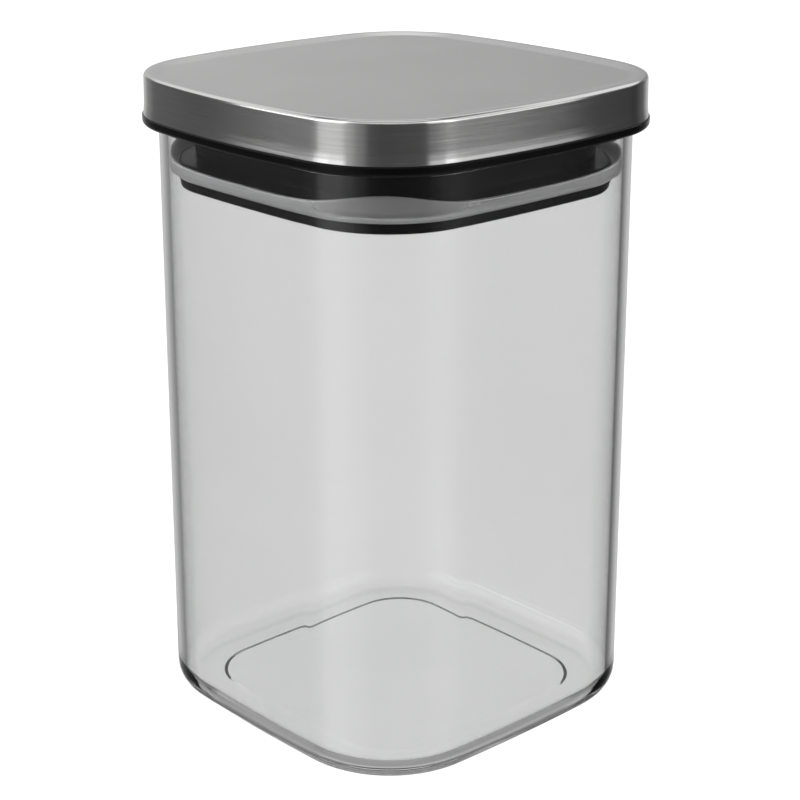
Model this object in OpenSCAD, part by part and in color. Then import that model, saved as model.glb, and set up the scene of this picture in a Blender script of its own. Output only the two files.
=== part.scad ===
// Square glass storage canister with a push-in lid.
// The lid is a drawn steel cap over a black plastic body; a soft gasket seals it in the jar's mouth.
// Origin at the bottom centre of the jar, +Z up, flat sides facing X and Y. Millimetres.

/* [Jar] */
// Width of the glass across the middle of two opposite sides
jar_w = 100; // [90:1:120]
// Height of the glass from the table to its lip
jar_h = 151; // [110:0.5:200]
// Radius of the jar's upright corners
jar_corner_r = 28.5; // [25:0.5:32]
// Flatness of the jar's sides, seen from above: a higher number bulges less
jar_flatness = 49; // [29:10:69]
// Thickness of the glass wall
wall_t = 2.2; // [1.8:0.1:3]
// Height of the jar's inside floor above the table
base_t = 3; // [3:0.5:8]
// Outside rounding where the wall meets the base
heel_r = 8.5; // [5:0.5:9]
// Inside rounding where the wall meets the base
inner_heel_r = 6; // [3:0.5:7]
// Rounding of the two edges of the lip
lip_r = 0.9; // [0.5:0.1:0.9]
// Depth of the shallow hollow under the base
base_hollow = 0.8; // [0.4:0.1:1.2]
// Width of the ring under the jar that rests on the table, with the heel's rounding
foot_ring = 14; // [12:0.5:17]

/* [Steel cap] */
// Width of the steel cap across the middle of two opposite sides
cap_w = 107; // [104:0.2:126]
// Radius of the cap's upright corners
cap_corner_r = 27.4; // [25:0.2:30]
// Flatness of the cap's sides, seen from above: a higher number bulges less
cap_flatness = 15; // [12:1:20]
// Height of the steel skirt, with its rounded top edge
skirt_h = 10.2; // [8:0.2:14]
// Thickness of the steel
cap_t = 0.5; // [0.4:0.1:0.8]
// Rounding between the cap's top and its skirt
cap_edge_r = 1.9; // [1.2:0.1:2.5]
// Width of the sloping border between the raised edge and the flat top
border_w = 4.6; // [3:0.1:6]
// How far the flat top lies below the raised edge
dish_depth = 0.5; // [0.2:0.1:1]

/* [Lid body] */
// Height of the black rim that shows between the steel and the glass
rim_h = 2.4; // [1.8:0.1:3.5]
// How far the rim stands out past the steel
rim_out = 0.3; // [0.2:0.1:1]
// Rounding of the rim's lower outer edge
rim_r = 1.8; // [1:0.1:1.8]
// Thickness of the plastic walls
plastic_t = 2; // [1.6:0.1:2.5]
// Gap between the neck and the inside of the glass
neck_gap = 7.5; // [6:0.1:8.5]
// Depth of the plug below the glass lip
plug_h = 14.9; // [13:0.1:20]
// Gap between the groove's two walls and the inside of the glass
groove_gap = 2.7; // [2:0.1:3.5]
// Height of the plug base's edge
plug_edge_h = 2.7; // [2.5:0.1:4]
// Height of the gasket between the two walls of its groove
gasket_h = 1.8; // [1.6:0.1:3]

/* [Gasket lip] */
// Height of the lip above the bottom of the gasket
lip_h = 5; // [4:0.1:6]
// Thickness of the lip
lip_t = 0.9; // [0.7:0.1:1.2]
// Clearance between the lip and the glass
lip_gap = 0.25; // [0.2:0.05:0.4]

/* [Hidden] */

fit_gap = 0.1;
overlap = 0.5;
small_arc = 48;
corner_arc = 128;
side_arc = 720;

// A rounded square is [half width, step, flatness]. Its arcs' centres lie on a right triangle with
// sides of 2n, n*n - 1 and n*n + 1 steps, n being the flatness, so that every centre and radius is
// a short decimal and the arcs meet exactly in tangents.
function rounded_square(half, corner_r, flatness) =
    [half, round(1000 * (half - corner_r) / (2 * flatness + 2)) / 1000, flatness];

jar_shape = rounded_square(jar_w / 2, jar_corner_r, jar_flatness);
cap_shape = rounded_square(cap_w / 2, cap_corner_r, cap_flatness);

// Heights of the lid's levels, from the table up
plug_z = jar_h - plug_h;
gasket_z = plug_z + plug_edge_h;
groove_z = gasket_z + gasket_h;
upper_wall_z = groove_z + plastic_t;
skirt_z = jar_h + rim_h;
cap_z = skirt_z + skirt_h;
edge_z = cap_z - cap_edge_r;
flat_z = cap_z - dish_depth;

// Distances inwards from the jar's outline
groove_in = wall_t + groove_gap;
neck_in = wall_t + neck_gap;
spigot_in = neck_in + plastic_t + fit_gap;
lip_in = wall_t + lip_gap;

// Inner reach of each swept section, and of the flat middle that it laps over
jar_reach = 12;
lid_reach = 10;
lap = 1;

// Roundings of the plug's edges, and the depth of the hollow under it
ledge_r = 0.8;
flange_r = 0.5;
plug_r = 1.2;
plug_hollow = 0.6;

// How far the gasket's root stands back from the edge of its groove
root_step = 0.4;

// The foam pads, the bosses they sit on, and their distance from the middle along X and Y
pad_r = 7;
pad_t = 0.5;
boss_r = 8;
pad_place = 25;

// Where a corner's arc has its centre, the same distance along X and Y
function corner_at(shape) = 2 * shape[2] * shape[1];

// How far behind the middle a side's arc has its centre
function side_back(shape) = (shape[2] * shape[2] - 1 - 2 * shape[2]) * shape[1];

function corner_r(shape) = shape[0] - 2 * (shape[2] + 1) * shape[1];
function side_r(shape) = shape[0] + side_back(shape);

// The point at distance r from a side's centre, in the direction where the side meets the corner
function meeting(shape, r) =
    let (flat = shape[2] * shape[2])
    [r * (flat - 1) / (flat + 1) - side_back(shape), r * 2 * shape[2] / (flat + 1)];

// The rounded square in plan, with its edge moved outwards by grow (negative moves it inwards)
module outline(shape, grow = 0) {
    at = corner_at(shape);
    back = side_back(shape);
    touch = meeting(shape, side_r(shape) + grow);
    for (turn = [0:90:270])
        rotate(turn)
            translate([at, at])
                circle(corner_r(shape) + grow, $fn = corner_arc);
    intersection() {
        rotate(45)
            square((touch[0] + touch[1]) * sqrt(2), center = true);
        intersection_for (turn = [0:90:270])
            rotate(turn)
                translate([-back, 0])
                    circle(side_r(shape) + grow, $fn = side_arc);
    }
}

// A flat plate of that outline
module plate(shape, grow, z, h) {
    translate([0, 0, z])
        linear_extrude(h)
            outline(shape, grow);
}

// Sweeps a section round the outline. The section's x = 0 lies on the outline, and inwards is negative.
// Each side and corner is a full ring, cut to its own stretch.
module sweep(shape) {
    at = corner_at(shape);
    tall = 2 * jar_h;
    far = [for (v = meeting(shape, side_r(shape) + jar_w / 4)) round(1000 * v) / 1000];
    for (turn = [0:90:270])
        rotate(turn) {
            intersection() {
                translate([-side_back(shape), 0, 0])
                    rotate_extrude($fn = side_arc)
                        translate([side_r(shape), 0])
                            children();
                linear_extrude(tall)
                    polygon([[at, -at], [far[0], -far[1]], [far[0], far[1]], [at, at]]);
            }
            intersection() {
                translate([at, at, 0])
                    rotate_extrude($fn = corner_arc)
                        translate([corner_r(shape), 0])
                            children();
                linear_extrude(tall)
                    polygon([[at, at], [far[0], far[1]], [far[0], far[0]], [far[1], far[0]]]);
            }
        }
}

// A block of section between two distances inwards, from height z up
module bar(inner, outer, z, h) {
    translate([-inner, z])
        square([inner - outer, h]);
}

// What rounding by r takes off the corner at (x, z); sx and sz point from the corner into the material
module round_off(x, z, r, sx, sz) {
    over = 0.01;
    translate([x + sx * (r - over) / 2, z + sz * (r - over) / 2])
        difference() {
            square(r + over, center = true);
            translate([sx * (r + over) / 2, sz * (r + over) / 2])
                circle(r, $fn = small_arc);
        }
}

module jar_section() {
    difference() {
        union() {
            bar(wall_t, 0, 0, jar_h);
            bar(jar_reach, 0, 0, base_t);
            bar(wall_t + inner_heel_r, wall_t - overlap, base_t - overlap, inner_heel_r + overlap);
        }
        translate([-wall_t - inner_heel_r, base_t + inner_heel_r])
            circle(inner_heel_r, $fn = small_arc);
        round_off(0, 0, heel_r, -1, 1);
        round_off(0, jar_h, lip_r, -1, -1);
        round_off(-wall_t, jar_h, lip_r, 1, -1);
    }
}

module glass_jar() {
    color([0.82, 0.9, 0.9, 0.4])
        union() {
            sweep(jar_shape)
                jar_section();
            difference() {
                plate(jar_shape, lap - jar_reach, 0, base_t);
                plate(jar_shape, -foot_ring, -lap, lap + base_hollow);
            }
        }
}

// Everything under the cap's surface, moved in from it by inset, down to z low
module under_cap(inset, low) {
    reach = lid_reach + inset;
    difference() {
        polygon([
            [-reach, low],
            [-inset, low],
            [-inset, cap_z - inset],
            [-cap_edge_r, cap_z - inset],
            [-cap_edge_r - border_w, flat_z - inset],
            [-reach, flat_z - inset]
        ]);
        round_off(-inset, cap_z - inset, cap_edge_r - inset, -1, -1);
    }
}

module lid_cap() {
    color([0.72, 0.72, 0.71])
        union() {
            sweep(cap_shape)
                difference() {
                    under_cap(0, skirt_z);
                    under_cap(cap_t, skirt_z - lap);
                }
            plate(cap_shape, lap - lid_reach, flat_z - cap_t, cap_t);
        }
}

module pad_places() {
    for (x = [-pad_place, pad_place], y = [-pad_place, pad_place])
        translate([x, y, 0])
            children();
}

module cap_pads() {
    color([0.9, 0.9, 0.88])
        pad_places()
            translate([0, 0, flat_z - cap_t - pad_t])
                cylinder(h = pad_t, r = pad_r, $fn = corner_arc);
}

module rim_section() {
    upstand_top = edge_z;
    difference() {
        union() {
            bar(lid_reach, -rim_out, jar_h, rim_h);
            bar(cap_t + fit_gap + plastic_t, cap_t + fit_gap, jar_h, upstand_top - jar_h);
        }
        round_off(rim_out, jar_h, rim_r, -1, 1);
    }
}

module neck_section() {
    difference() {
        union() {
            bar(neck_in + plastic_t, neck_in, groove_z, jar_h + lap - groove_z);
            bar(neck_in + plastic_t, groove_in, groove_z, plastic_t);
        }
        round_off(-groove_in, upper_wall_z, ledge_r, -1, -1);
    }
}

module lid_body() {
    color([0.05, 0.05, 0.055])
        union() {
            sweep(cap_shape)
                rim_section();
            plate(cap_shape, lap - lid_reach, jar_h, rim_h);
            sweep(jar_shape)
                neck_section();
            pad_places()
                translate([0, 0, jar_h + lap])
                    cylinder(h = flat_z - cap_t - pad_t - jar_h - lap, r = boss_r, $fn = corner_arc);
        }
}

module gasket_section() {
    tip_z = gasket_z + lip_h;
    root_in = groove_in - root_step;
    lip_inner = lip_in + lip_t;
    polygon([
        [-spigot_in + fit_gap, gasket_z],
        [-root_in, gasket_z],
        [-lip_in, groove_z],
        [-lip_in, tip_z - lip_t / 2],
        [-lip_in - lip_t / 2, tip_z],
        [-lip_inner, tip_z - lip_t / 2],
        [-lip_inner, groove_z + root_step],
        [-root_in, groove_z],
        [-spigot_in + fit_gap, groove_z]
    ]);
}

module gasket() {
    color([0.55, 0.55, 0.55])
        sweep(jar_shape)
            gasket_section();
}

module plug_section() {
    difference() {
        union() {
            bar(spigot_in + plastic_t, groove_in, plug_z, plug_edge_h);
            bar(spigot_in + plastic_t, spigot_in, plug_z, plug_h - rim_h);
        }
        round_off(-groove_in, plug_z, plug_r, -1, 1);
        round_off(-groove_in, gasket_z, flange_r, -1, -1);
    }
}

module plug_base() {
    color([0.05, 0.05, 0.055])
        union() {
            sweep(jar_shape)
                plug_section();
            difference() {
                plate(jar_shape, lap - spigot_in - plastic_t, plug_z, plastic_t);
                plate(jar_shape, -spigot_in - 2 * plastic_t, plug_z - lap, lap + plug_hollow);
            }
        }
}

glass_jar();
lid_cap();
cap_pads();
lid_body();
gasket();
plug_base();
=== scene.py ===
import math

import bmesh
import bpy
import numpy as np
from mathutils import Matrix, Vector


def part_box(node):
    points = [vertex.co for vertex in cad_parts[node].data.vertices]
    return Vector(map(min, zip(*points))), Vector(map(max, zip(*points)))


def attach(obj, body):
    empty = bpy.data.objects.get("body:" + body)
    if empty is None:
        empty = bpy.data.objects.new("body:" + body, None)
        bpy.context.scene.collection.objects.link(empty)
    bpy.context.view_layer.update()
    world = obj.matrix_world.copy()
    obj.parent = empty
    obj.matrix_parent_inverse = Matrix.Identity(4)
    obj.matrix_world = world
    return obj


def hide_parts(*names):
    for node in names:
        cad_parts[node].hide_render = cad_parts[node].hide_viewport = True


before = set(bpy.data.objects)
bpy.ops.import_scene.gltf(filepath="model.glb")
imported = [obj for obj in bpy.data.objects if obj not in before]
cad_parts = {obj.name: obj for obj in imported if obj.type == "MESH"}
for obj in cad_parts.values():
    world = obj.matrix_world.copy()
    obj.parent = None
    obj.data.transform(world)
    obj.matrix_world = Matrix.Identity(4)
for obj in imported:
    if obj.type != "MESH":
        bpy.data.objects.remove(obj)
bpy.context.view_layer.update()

MM = 0.001

# ---------------------------------------------------------------- sizes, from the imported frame

jar_low, jar_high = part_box("glass_jar")
cap_low, cap_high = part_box("lid_cap")
plug_low, plug_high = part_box("plug_base")
body_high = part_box("lid_body")[1]
gasket_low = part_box("gasket")[0]

JAR_H = jar_high.z / MM
CAP_Z = cap_high.z / MM
SKIRT_Z = cap_low.z / MM
PLUG_Z = plug_low.z / MM
SPIGOT_Z = plug_high.z / MM
GASKET_Z = gasket_low.z / MM
RIM_OUT = (body_high.x - cap_high.x) / MM

# The rounded squares: half width, corner radius and flatness, which is how little a side bulges.
# The flat part of the cap's top has tighter corners than the cap itself.
FLATNESS_JAR, FLATNESS_CAP = 49, 15
JAR = (jar_high.x / MM, 28.5, FLATNESS_JAR)
CAP = (cap_high.x / MM, 27.4, FLATNESS_CAP)
CAP_TOP = (cap_high.x / MM, 23.0, FLATNESS_CAP)

# The jar's wall, its inside floor, the rounding of its heel outside and in, and the ring it stands on
WALL = 2.2
BASE = 3.0
HEEL_R = 8.5
INNER_HEEL_R = 6.0
FOOT_RING = 14.0
BASE_HOLLOW = 0.8

# The cap's steel, the rounding of its edge, the width of the border and how far the flat top lies down
STEEL = 0.5
EDGE_R = 1.9
BORDER_W = 4.6
DISH = 0.5
# How far the skirt leans in towards the top, and how far and how high its bottom edge curls out
FLARE = 0.38
CURL = 0.27
CURL_H = 2.7

# The plastic, how far in from the glass the groove's walls, the neck and the spigot are, and the groove
PLASTIC = 2.0
GROOVE_IN = 4.9
NECK_IN = 9.7
SPIGOT_IN = 11.8
GROOVE_H = 1.8

# Points along each side and round each corner of a plan, and round each corner of a section
SIDE_STEPS = 26
CORNER_STEPS = 34
ARC_STEPS = 7
# The most of a section's straight stretch that one rounding may take
ARC_SHARE = 0.48
# How close a loop lies to each end of a rounding, in millimetres and as a share of the rounding
CLOSE_LOOP = 0.12
CLOSE_SHARE = 0.3
# Where the loops of a filled end lie, as shares of the way out from its middle
FILL_SHARES = (0.2, 0.4, 0.6, 0.8)


# ---------------------------------------------------------------- shapes

def plan(shape):
    """Points round a rounded square, side, corner, side, and so on, with their outward normals.

    The centres of a side's arc and a corner's arc lie on a right triangle with sides of 2n,
    n*n - 1 and n*n + 1 steps, n being the flatness, so that the two arcs meet in a tangent.
    """
    half, corner_r, n = shape
    step = round((half - corner_r) / (2 * n + 2), 3)
    centre = 2 * n * step
    back = (n * n - 1 - 2 * n) * step
    corner_r = half - 2 * (n + 1) * step
    meet = math.atan2(2 * n, n * n - 1)
    points, normals = [], []
    for turn in range(4):
        base = turn * math.pi / 2
        spin = np.array([[math.cos(base), -math.sin(base)], [math.sin(base), math.cos(base)]])
        arcs = (
            (np.array([-back, 0.0]), half + back, -meet, meet, SIDE_STEPS),
            (np.array([centre, centre]), corner_r, meet, math.pi / 2 - meet, CORNER_STEPS),
        )
        for middle, radius, first, last, steps in arcs:
            angles = first + (last - first) * np.arange(steps) / steps
            normal = np.stack([np.cos(angles), np.sin(angles)], 1)
            points.append((middle + radius * normal) @ spin.T)
            normals.append(normal @ spin.T)
    return np.concatenate(points), np.concatenate(normals)


PLANS = {shape: plan(shape) for shape in (JAR, CAP, CAP_TOP)}


def ring(shape, grow, z):
    """One loop round a rounded square, moved out by grow, at height z. In millimetres."""
    points, normals = PLANS[shape]
    return np.column_stack([points + grow * normals, np.full(len(points), float(z))])


def rounded(section):
    """A section of (shape, x, z, r) with its corners rounded to r, as (shape, x, z)."""
    out = []
    for i, (shape, x, z, r) in enumerate(section):
        corner = np.array([x, z], float)
        if r <= 0 or i in (0, len(section) - 1):
            out.append((shape, x, z))
            continue
        before = np.array(section[i - 1][1:3], float) - corner
        after = np.array(section[i + 1][1:3], float) - corner
        room = ARC_SHARE * min(np.linalg.norm(before), np.linalg.norm(after))
        before, after = before / np.linalg.norm(before), after / np.linalg.norm(after)
        half = math.acos(max(-1.0, min(1.0, float(before @ after)))) / 2
        reach = min(r / math.tan(half), room)
        radius = reach * math.tan(half)
        middle = corner + (before + after) / np.linalg.norm(before + after) * radius / math.sin(half)
        start, end = corner + before * reach, corner + after * reach
        first = math.atan2(*(start - middle)[::-1])
        last = math.atan2(*(end - middle)[::-1])
        sweep = (last - first + math.pi) % (2 * math.pi) - math.pi
        close = min(CLOSE_LOOP, CLOSE_SHARE * reach)
        out.append((shape, *(start + before * close)))
        for k in range(ARC_STEPS + 1):
            angle = first + sweep * k / ARC_STEPS
            out.append((shape, *(middle + radius * np.array([math.cos(angle), math.sin(angle)]))))
        out.append((shape, *(end + after * close)))
    return out


def material_on(obj, material):
    obj.data.materials.clear()
    obj.data.materials.append(material)


def solid(name, rings, filled, material, body, node):
    """A closed mesh through the rings, which replaces a CAD node. Its two ends are filled, or joined up."""
    if filled:
        start = [rings[0] * [share, share, 1] for share in FILL_SHARES]
        end = [rings[-1] * [share, share, 1] for share in reversed(FILL_SHARES)]
        rings = start + rings + end
    n = len(rings[0])
    verts = list(np.concatenate(rings) * MM)
    faces = []
    last = len(rings) - 1
    pairs = [(i, i + 1) for i in range(last)]
    if not filled:
        pairs.append((last, 0))
    for a, b in pairs:
        for j in range(n):
            k = (j + 1) % n
            faces.append((a * n + j, a * n + k, b * n + k, b * n + j))
    for at in (0, last) if filled else ():
        middle = len(verts)
        verts.append(np.array([0, 0, rings[at][0][2] * MM]))
        for j in range(n):
            faces.append((at * n + j, at * n + (j + 1) % n, middle))
    mesh = bpy.data.meshes.new(name)
    mesh.from_pydata([tuple(v) for v in verts], [], faces)
    bm = bmesh.new()
    bm.from_mesh(mesh)
    bmesh.ops.recalc_face_normals(bm, faces=bm.faces)
    bm.to_mesh(mesh)
    bm.free()
    mesh.shade_smooth()
    obj = bpy.data.objects.new(name, mesh)
    bpy.context.scene.collection.objects.link(obj)
    material_on(obj, material)
    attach(obj, body)
    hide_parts(node)
    return obj


def swept(name, section, material, body, node, filled=True, lift=None):
    """A piece from its section, rounded and taken round the plan. lift raises the loops at a height."""
    rings = []
    for shape, x, z in rounded(section):
        loop = ring(shape, x, z)
        if lift is not None:
            loop[:, 2] += lift(z)
        rings.append(loop)
    return solid(name, rings, filled, material, body, node)


# ---------------------------------------------------------------- materials

class Tree:
    """A node tree, with a method for each kind of node that the materials and the studio need."""

    def __init__(self, tree):
        self.nodes = tree.nodes
        self.links = tree.links

    def put(self, value, socket):
        """Links an output to a socket, or sets the socket to a constant."""
        if isinstance(value, (int, float)):
            socket.default_value = value
        else:
            self.links.new(value, socket)

    def math(self, operation, *values):
        node = self.nodes.new("ShaderNodeMath")
        node.operation = operation
        for value, socket in zip(values, node.inputs):
            self.put(value, socket)
        return node.outputs[0]

    def dot(self, vector, constant):
        node = self.nodes.new("ShaderNodeVectorMath")
        node.operation = "DOT_PRODUCT"
        self.put(vector, node.inputs[0])
        node.inputs[1].default_value = constant
        return node.outputs["Value"]

    def mix(self, factor, a, b):
        node = self.nodes.new("ShaderNodeMix")
        node.data_type = "FLOAT"
        for value, at in ((factor, 0), (a, 2), (b, 3)):
            self.put(value, node.inputs[at])
        return node.outputs[0]

    def mix_vector(self, factor, a, b):
        node = self.nodes.new("ShaderNodeMix")
        node.data_type = "VECTOR"
        node.inputs[4].default_value = a
        node.inputs[5].default_value = b
        self.put(factor, node.inputs[0])
        return node.outputs[1]

    def mix_colour(self, factor, a, b):
        node = self.nodes.new("ShaderNodeMix")
        node.data_type = "RGBA"
        node.inputs[6].default_value = (*a, 1)
        node.inputs[7].default_value = (*b, 1)
        self.put(factor, node.inputs[0])
        return node.outputs[2]

    def remap(self, value, low, high, start=0.3, end=0.7, kind="LINEAR"):
        """low where the value is at start, high where it is at end. Noise mostly lies in 0.3 to 0.7."""
        node = self.nodes.new("ShaderNodeMapRange")
        node.interpolation_type = kind
        node.inputs["From Min"].default_value = start
        node.inputs["From Max"].default_value = end
        node.inputs["To Min"].default_value = low
        node.inputs["To Max"].default_value = high
        self.put(value, node.inputs["Value"])
        return node.outputs["Result"]

    def window(self, value, low, high, fade):
        """1 from low to high, fading to nothing over fade on either side."""
        rising = self.remap(value, 0.0, 1.0, low - fade, low, "SMOOTHSTEP")
        falling = self.remap(value, 0.0, 1.0, high + fade, high, "SMOOTHSTEP")
        return self.math("MULTIPLY", rising, falling)

    def ramp(self, angle, reach, stops):
        """Light and share from stops of (angle, light, share), for angles from -reach to reach."""
        node = self.nodes.new("ShaderNodeValToRGB")
        node.color_ramp.interpolation = "EASE"
        elements = node.color_ramp.elements
        while len(elements) > 1:
            elements.remove(elements[-1])
        for i, (at, level, share) in enumerate(stops):
            position = (at + reach) / (2 * reach)
            element = elements[0] if i == 0 else elements.new(position)
            element.position = position
            element.color = (level, level, level, share)
        self.put(self.math("DIVIDE", self.math("ADD", angle, reach), 2 * reach), node.inputs["Fac"])
        return node.outputs["Color"], node.outputs["Alpha"]

    def noise(self, scale, stretch, detail):
        """Noise fixed to the piece. The scale is per metre, and stretch multiplies it along X, Y and Z."""
        mapping = self.nodes.new("ShaderNodeMapping")
        mapping.inputs["Scale"].default_value = stretch
        texture = self.nodes.new("ShaderNodeTexNoise")
        texture.inputs["Scale"].default_value = scale
        texture.inputs["Detail"].default_value = detail
        self.put(self.nodes.new("ShaderNodeTexCoord").outputs["Object"], mapping.inputs["Vector"])
        self.put(mapping.outputs["Vector"], texture.inputs["Vector"])
        return texture.outputs["Fac"]

    def bump(self, height, strength, distance):
        node = self.nodes.new("ShaderNodeBump")
        node.inputs["Strength"].default_value = strength
        node.inputs["Distance"].default_value = distance
        self.put(height, node.inputs["Height"])
        return node.outputs["Normal"]


# Noise of one scale along X, Y and Z
EVEN = (1, 1, 1)


def new_material(name):
    material = bpy.data.materials.new(name)
    material.use_nodes = True
    return material, Tree(material.node_tree), material.node_tree.nodes["Principled BSDF"]


def make_glass():
    material, tree, shader = new_material("clear_glass")
    shader.inputs["Transmission Weight"].default_value = 1.0
    shader.inputs["Roughness"].default_value = 0.0
    shader.inputs["IOR"].default_value = 1.5
    # The faint waves of blown glass, drawn out along its height
    waves = tree.noise(26, (1, 1, 0.35), 1.0)
    tint = tree.mix_colour(tree.remap(waves, 0.0, 1.0), (0.785, 0.790, 0.788), (0.802, 0.806, 0.804))
    tree.put(tint, shader.inputs["Base Color"])
    tree.put(tree.bump(waves, 0.12, 0.0006), shader.inputs["Normal"])
    return material


def make_steel():
    material, tree, shader = new_material("brushed_steel")
    shader.inputs["Metallic"].default_value = 1.0
    shader.inputs["Anisotropic"].default_value = 0.85
    # 1 on the cap's top, which is brushed along X, and 0 on its skirt, which is brushed round it
    split = tree.nodes.new("ShaderNodeSeparateXYZ")
    tree.put(tree.nodes.new("ShaderNodeNewGeometry").outputs["Normal"], split.inputs["Vector"])
    top = tree.remap(split.outputs["Z"], 0.0, 1.0, 0.55, 0.85)
    along_x = tree.noise(60, (1.2, 70, 1), 4.0)
    round_skirt = tree.noise(60, (1.2, 1.2, 70), 4.0)
    lines = tree.mix(top, round_skirt, along_x)
    # The tangent lies across the brushing
    tree.put(tree.mix_vector(top, (0, 0, 1), (0, 1, 0)), shader.inputs["Tangent"])
    patches = tree.remap(tree.noise(30, EVEN, 2.0), 0.0, 0.25)
    shade = tree.math("MULTIPLY_ADD", lines, 0.75, patches)
    colour = tree.mix_colour(shade, (0.555, 0.555, 0.55), (0.69, 0.69, 0.685))
    tree.put(colour, shader.inputs["Base Color"])
    tree.put(tree.remap(lines, 0.15, 0.20), shader.inputs["Roughness"])
    tree.put(tree.bump(lines, 0.03, 0.00002), shader.inputs["Normal"])
    return material


def make_plastic():
    material, tree, shader = new_material("black_plastic")
    shader.inputs["IOR"].default_value = 1.5
    shader.inputs["Specular IOR Level"].default_value = 0.15
    mottle = tree.noise(90, EVEN, 3.0)
    colour = tree.mix_colour(mottle, (0.0015, 0.0015, 0.0017), (0.0035, 0.0035, 0.0039))
    tree.put(colour, shader.inputs["Base Color"])
    tree.put(tree.remap(mottle, 0.12, 0.24), shader.inputs["Roughness"])
    tree.put(tree.bump(tree.noise(1400, EVEN, 2.0), 0.06, 0.00004), shader.inputs["Normal"])
    return material


def make_silicone():
    material, tree, shader = new_material("grey_silicone")
    shader.inputs["IOR"].default_value = 1.42
    shader.inputs["Subsurface Weight"].default_value = 1.0
    shader.inputs["Transmission Weight"].default_value = 0.75
    shader.inputs["Subsurface Radius"].default_value = (1, 1, 1)
    shader.inputs["Subsurface Scale"].default_value = 0.002
    mottle = tree.noise(60, (1, 1, 2), 3.0)
    colour = tree.mix_colour(mottle, (0.74, 0.74, 0.74), (0.80, 0.80, 0.797))
    tree.put(colour, shader.inputs["Base Color"])
    tree.put(tree.remap(mottle, 0.36, 0.46), shader.inputs["Roughness"])
    tree.put(tree.bump(tree.noise(900, EVEN, 2.0), 0.1, 0.00006), shader.inputs["Normal"])
    return material


def make_foam():
    material, tree, shader = new_material("foam_tape")
    cells = tree.noise(1800, EVEN, 4.0)
    colour = tree.mix_colour(cells, (0.62, 0.61, 0.58), (0.86, 0.85, 0.82))
    tree.put(colour, shader.inputs["Base Color"])
    tree.put(tree.remap(cells, 0.8, 0.98), shader.inputs["Roughness"])
    tree.put(tree.bump(cells, 0.5, 0.0001), shader.inputs["Normal"])
    return material


def make_floor():
    material, tree, shader = new_material("pale_floor")
    shader.inputs["Roughness"].default_value = 0.9
    shader.inputs["Specular IOR Level"].default_value = 0.1
    shader.inputs["Emission Color"].default_value = (1, 1, 1, 1)
    shader.inputs["Emission Strength"].default_value = 0.42
    colour = tree.mix_colour(tree.noise(300, EVEN, 2.0), (0.885, 0.885, 0.88), (0.905, 0.905, 0.90))
    tree.put(colour, shader.inputs["Base Color"])
    # Whatever mirrors the floor sees the studio instead, so that steel and black plastic stay dark
    path = tree.nodes.new("ShaderNodeLightPath").outputs
    floor_mix = tree.nodes.new("ShaderNodeMixShader")
    tree.put(tree.math("GREATER_THAN", path["Glossy Depth"], 0.5), floor_mix.inputs[0])
    tree.put(shader.outputs["BSDF"], floor_mix.inputs[1])
    tree.put(tree.nodes.new("ShaderNodeBsdfTransparent").outputs["BSDF"], floor_mix.inputs[2])
    tree.put(floor_mix.outputs["Shader"], tree.nodes["Material Output"].inputs["Surface"])
    return material


glass = make_glass()
steel = make_steel()
plastic = make_plastic()
silicone = make_silicone()
foam = make_foam()

# ---------------------------------------------------------------- pieces

# Each section is a row of (plan, distance out from it, height, rounding). Where a section is filled,
# it starts and ends a little way inside its last feature, and the flat part in the middle is added.

# The jar, from its underside, up the outside, over the lip, and down to the floor inside
LIP_R = 0.9
HOLLOW_SLOPE = 0.8
HOLLOW_R = 0.6
jar_section = [
    (JAR, -FOOT_RING - 1.5, BASE_HOLLOW, 0),
    (JAR, -FOOT_RING, BASE_HOLLOW, HOLLOW_R),
    (JAR, -FOOT_RING + HOLLOW_SLOPE, 0.0, HOLLOW_R),
    (JAR, 0.0, 0.0, HEEL_R),
    (JAR, 0.0, JAR_H, LIP_R),
    (JAR, -WALL, JAR_H, LIP_R),
    (JAR, -WALL, BASE, INNER_HEEL_R),
    (JAR, -WALL - INNER_HEEL_R - 4, BASE, 0),
]
jar = swept("glass_jar_blown", jar_section, glass, "jar", "glass_jar")
# Clear glass lets the studio light what is inside it
jar.visible_shadow = False

# The steel cap, from its dished top, over the raised edge and down the skirt, and back inside
flat_z = CAP_Z - DISH
flat_at = -EDGE_R - BORDER_W
edge_at = -FLARE - EDGE_R - 0.1
CAP_FILL = -12.0
BEND_R = 2.0
SHEET_R = 0.15
cap_section = [
    (CAP_TOP, CAP_FILL, flat_z, 0),
    (CAP_TOP, flat_at, flat_z, BEND_R),
    (CAP, edge_at, CAP_Z, BEND_R),
    (CAP, -FLARE, CAP_Z, EDGE_R),
    (CAP, -CURL, SKIRT_Z + CURL_H, 16.0),
    (CAP, -0.5 * CURL, SKIRT_Z + 0.4 * CURL_H, 10.0),
    (CAP, 0.0, SKIRT_Z, SHEET_R),
    (CAP, -STEEL, SKIRT_Z, SHEET_R),
    (CAP, -CURL - STEEL, SKIRT_Z + CURL_H, 1.0),
    (CAP, -FLARE - STEEL, CAP_Z - STEEL, EDGE_R - STEEL),
    (CAP, edge_at, CAP_Z - STEEL, BEND_R),
    (CAP_TOP, flat_at, flat_z - STEEL, BEND_R),
    (CAP_TOP, CAP_FILL, flat_z - STEEL, 0),
]
swept("steel_cap_drawn", cap_section, steel, "lid", "lid_cap")

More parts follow.
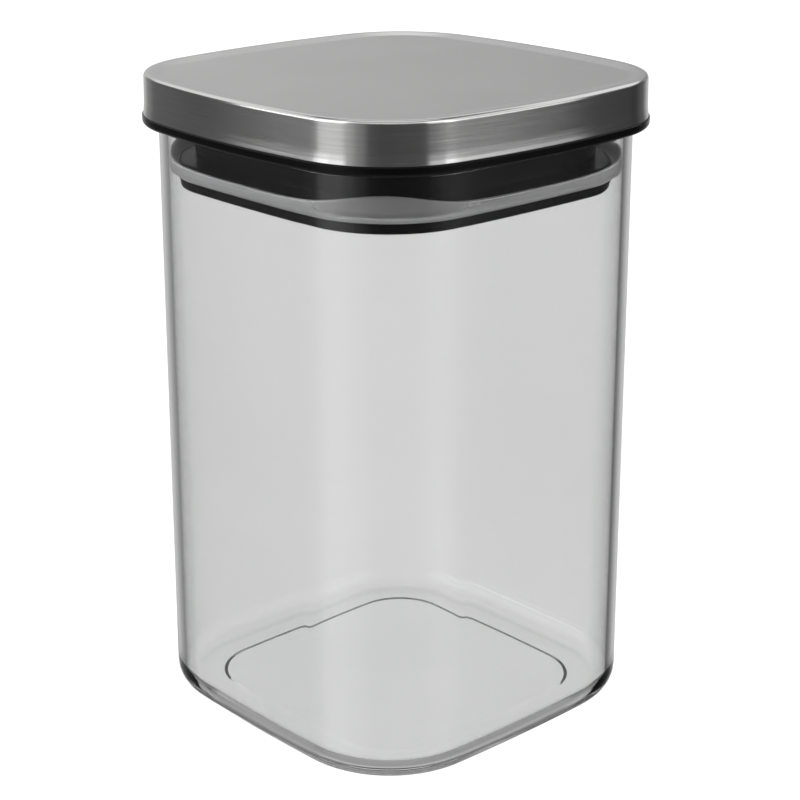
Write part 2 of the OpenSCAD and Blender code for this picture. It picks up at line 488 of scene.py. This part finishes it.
# The lid body, from its plate's top, up the wall inside the skirt, out over the rim that shows, in
# under it to the neck, down to the groove's upper wall, and back up inside
GROOVE_Z = GASKET_Z + GROOVE_H
LEDGE_Z = GROOVE_Z + PLASTIC
UPSTAND_Z = CAP_Z - EDGE_R
RIM_R = 1.75
upstand = -FLARE - STEEL - 0.1
inner_up = upstand - PLASTIC
neck_inside = -NECK_IN - PLASTIC
body_section = [
    (CAP, CAP_FILL, SKIRT_Z, 0),
    (CAP, inner_up, SKIRT_Z, 0.3),
    (CAP, inner_up, UPSTAND_Z, 0.3),
    (CAP, upstand, UPSTAND_Z, 0.3),
    (CAP, upstand, SKIRT_Z, 0.05),
    (CAP, RIM_OUT, SKIRT_Z, 0.25),
    (CAP, RIM_OUT, JAR_H, RIM_R),
    (CAP, -4.0, JAR_H, 0),
    (JAR, -NECK_IN, JAR_H, 0.4),
    (JAR, -NECK_IN, LEDGE_Z, 0.5),
    (JAR, -GROOVE_IN, LEDGE_Z, 0.8),
    (JAR, -GROOVE_IN, GROOVE_Z, 0.25),
    (JAR, neck_inside, GROOVE_Z, 0.2),
    (JAR, neck_inside, JAR_H, 0.4),
    (JAR, neck_inside - 5, JAR_H, 0),
]
swept("lid_body_moulded", body_section, plastic, "lid", "lid_body")

# The plug base: bottom plate, spigot inside the neck, the flange that holds the gasket up, with a
# fine step round its edge, and the shallow hollow underneath
STEP_W = 0.35
STEP_Z = GASKET_Z - 1.0
STEP_SLOPE = 0.15
UNDERSIDE_HOLLOW = 0.6
spigot_inside = -SPIGOT_IN - PLASTIC
plug_section = [
    (JAR, spigot_inside - 4, PLUG_Z + PLASTIC, 0),
    (JAR, spigot_inside, PLUG_Z + PLASTIC, 0.4),
    (JAR, spigot_inside, SPIGOT_Z, 0.3),
    (JAR, -SPIGOT_IN, SPIGOT_Z, 0.3),
    (JAR, -SPIGOT_IN, GASKET_Z, 0.2),
    (JAR, -GROOVE_IN, GASKET_Z, 0.3),
    (JAR, -GROOVE_IN, STEP_Z, 0.2),
    (JAR, -GROOVE_IN - STEP_W, STEP_Z - STEP_SLOPE, 0.2),
    (JAR, -GROOVE_IN - STEP_W, PLUG_Z, 1.1),
    (JAR, spigot_inside - PLASTIC, PLUG_Z, 0.3),
    (JAR, spigot_inside - PLASTIC, PLUG_Z + UNDERSIDE_HOLLOW, 0.2),
    (JAR, spigot_inside - PLASTIC - 3, PLUG_Z + UNDERSIDE_HOLLOW, 0),
]
swept("plug_base_moulded", plug_section, plastic, "lid", "plug_base")

# The gasket: its lip stands higher round the corners, where the soft ring can't spread. The lip goes
# up from LIP_ROOT to LIP_LOW above the gasket's bottom, and LIP_RISE higher at a corner, fading with
# the bearing away from it.
LIP_ROOT = 1.8
LIP_LOW = 3.9
LIP_RISE = 3.0
LIP_FADE = 15.5
LIP_IN = 2.38
LIP_T = 0.85
outline_points = PLANS[JAR][0]
bearing = np.degrees(np.arctan2(outline_points[:, 1], outline_points[:, 0]))
from_corner = np.abs(bearing % 90 - 45)
corner_rise = LIP_RISE * np.exp(-((from_corner / LIP_FADE) ** 2))


def lip_lift(z):
    """How far the lip's loop at height z is raised, all the way round."""
    share = (z - GASKET_Z - LIP_ROOT) / (LIP_LOW - LIP_ROOT)
    return corner_rise * min(1.0, max(0.0, share))


gasket_in = neck_inside + 0.4
gasket_out = -GROOVE_IN + 0.3
gasket_section = [
    (JAR, gasket_in, GASKET_Z, 0),
    (JAR, gasket_out, GASKET_Z, 0.3),
    (JAR, -LIP_IN, GASKET_Z + LIP_ROOT, 2.0),
    (JAR, -LIP_IN, GASKET_Z + LIP_LOW, LIP_T / 2),
    (JAR, -LIP_IN - LIP_T, GASKET_Z + LIP_LOW, LIP_T / 2),
    (JAR, -LIP_IN - LIP_T, GASKET_Z + 2.3, 0.6),
    (JAR, gasket_out, GROOVE_Z, 0.2),
    (JAR, gasket_in, GROOVE_Z, 0),
]
swept("gasket_moulded", gasket_section, silicone, "lid", "gasket", False, lip_lift)

# The foam pads stay as the CAD made them, under the cap
material_on(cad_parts["cap_pads"], foam)

# ---------------------------------------------------------------- camera, floor and studio

# The camera: its bearing, its distance from the jar's axis, its height, how far it looks down and
# off the axis, its lens and a small shift of the picture
CAMERA_AZIMUTH = math.radians(-42.3)
CAMERA_REACH = 0.4866
CAMERA_HEIGHT = 0.250
CAMERA_PITCH = math.radians(17.84)
CAMERA_TURN = 0.0024
CAMERA_LENS = 90.2
CAMERA_SHIFT = -0.07
SENSOR_W = 36.0

# Level directions from the jar to the camera, and to the right as the camera sees it
towards = Vector((math.sin(CAMERA_AZIMUTH), -math.cos(CAMERA_AZIMUTH), 0))
rightwards = Vector((math.cos(CAMERA_AZIMUTH), math.sin(CAMERA_AZIMUTH), 0))

camera_data = bpy.data.cameras.new("camera")
camera_data.lens = CAMERA_LENS
camera_data.sensor_width = SENSOR_W
camera_data.shift_y = CAMERA_SHIFT
camera_data.clip_start = 0.01
camera_data.clip_end = 100.0
camera = bpy.data.objects.new("camera", camera_data)
camera.location = towards * CAMERA_REACH + Vector((0, 0, CAMERA_HEIGHT))
camera.rotation_euler = (math.pi / 2 - CAMERA_PITCH, 0, CAMERA_AZIMUTH - CAMERA_TURN)
bpy.context.scene.collection.objects.link(camera)
bpy.context.scene.camera = camera

# Just under the jar's foot ring, so that the two never lie in one plane
FLOOR_DROP = 0.0003
FLOOR_HALF = 12.0

floor_mesh = bpy.data.meshes.new("floor")
floor_corners = [(x * FLOOR_HALF, y * FLOOR_HALF, 0) for x, y in ((-1, -1), (1, -1), (1, 1), (-1, 1))]
floor_mesh.from_pydata(floor_corners, [], [(0, 1, 2, 3)])
floor = bpy.data.objects.new("floor", floor_mesh)
bpy.context.scene.collection.objects.link(floor)
floor.location.z = -FLOOR_DROP
material_on(floor, make_floor())

# How bright the studio is round the horizon: degrees from the camera's own side, and light
BAND = (
    (-180, 0.60), (-158, 0.60), (-138, 0.28), (-122, 0.16), (-104, 0.11), (-94, 0.13), (-84, 0.18),
    (-74, 0.24), (-68, 0.66), (-58, 0.74), (-48, 0.72), (-38, 0.48), (-27, 0.26), (-16, 0.09),
    (-4, 0.07), (24, 0.08), (34, 0.09), (44, 0.16), (54, 0.26), (66, 0.29), (78, 0.23), (87, 0.13),
    (97, 0.07), (116, 0.05), (134, 0.12), (158, 0.60), (180, 0.60),
)
# The same from straight below to straight above, and how far the band round the horizon shows there
RISE = (
    (-90, 0.45, 0), (-52, 0.40, 0), (-32, 0.30, 1), (15, 0.20, 1), (20, 0.20, 0), (25, 1.10, 0),
    (44, 1.10, 0), (50, 0.20, 0), (58, 0.20, 0), (66, 0.90, 0), (90, 0.90, 0),
)
# The softboxes: start, end and fade round the horizon, the same above it, and light
SOFTBOXES = (
    ((-72, -44, 6), (2, 46, 5), 1.2),
    ((-95, -60, 3), (3, 8, 2), 1.6),
    ((-94, -74, 4), (10, 14, 1.5), 6.0),
    ((42, 66, 6), (2, 40, 5), 1.0),
    ((58, 92, 4), (1, 13, 2), 1.6),
)
# The glow behind the jar: its light in the middle, and how much weaker it is to the right
GLOW = 0.51
GLOW_SLOPE = 0.55
DEGREES = 180 / math.pi

world = bpy.data.worlds.new("studio")
bpy.context.scene.world = world
world.use_nodes = True
sky = Tree(world.node_tree)
sky.nodes.clear()
direction = sky.nodes.new("ShaderNodeTexCoord").outputs["Generated"]
to_camera = sky.dot(direction, towards)
to_right = sky.dot(direction, rightwards)
turn = sky.math("MULTIPLY", sky.math("ARCTAN2", to_right, to_camera), DEGREES)
climb = sky.math("MULTIPLY", sky.math("ARCSINE", sky.dot(direction, (0, 0, 1))), DEGREES)
band = sky.ramp(turn, 180, [(at, level, 1) for at, level in BAND])[0]
rise, band_share = sky.ramp(climb, 90, RISE)
light = sky.mix(band_share, rise, band)
for across, upwards, level in SOFTBOXES:
    softbox = sky.math("MULTIPLY", sky.window(turn, *across), sky.window(climb, *upwards))
    light = sky.math("ADD", light, sky.math("MULTIPLY", softbox, level))
# Low down behind the jar is an even glow, a little stronger on the left, which the lid's top mirrors
behind = sky.math("MULTIPLY", sky.window(to_camera, -1.2, -0.9, 0.1), sky.window(climb, 4, 20, 5))
glow = sky.math("SUBTRACT", GLOW, sky.math("MULTIPLY", to_right, GLOW_SLOPE))
light = sky.mix(behind, light, glow)
# Seen directly or straight through the glass, the studio is a plain white backdrop. A path with no
# turn but those through glass has a Ray Depth, at the sky, of one more than its Transmission Depth.
path = sky.nodes.new("ShaderNodeLightPath").outputs
turns = sky.math("SUBTRACT", path["Ray Depth"], path["Transmission Depth"])
sharp = sky.math("MAXIMUM", path["Is Camera Ray"], path["Is Singular Ray"])
light = sky.mix(sky.math("MULTIPLY", sky.math("LESS_THAN", turns, 1.5), sharp), light, 1.0)
background = sky.nodes.new("ShaderNodeBackground")
sky.put(light, background.inputs["Color"])
sky.put(background.outputs["Background"], sky.nodes.new("ShaderNodeOutputWorld").inputs["Surface"])

# Enough bounces for light to cross the jar's walls, its base and the gasket
scene = bpy.context.scene
scene.view_settings.view_transform = "Standard"
scene.cycles.max_bounces = 16
scene.cycles.transmission_bounces = 16
scene.cycles.glossy_bounces = 12
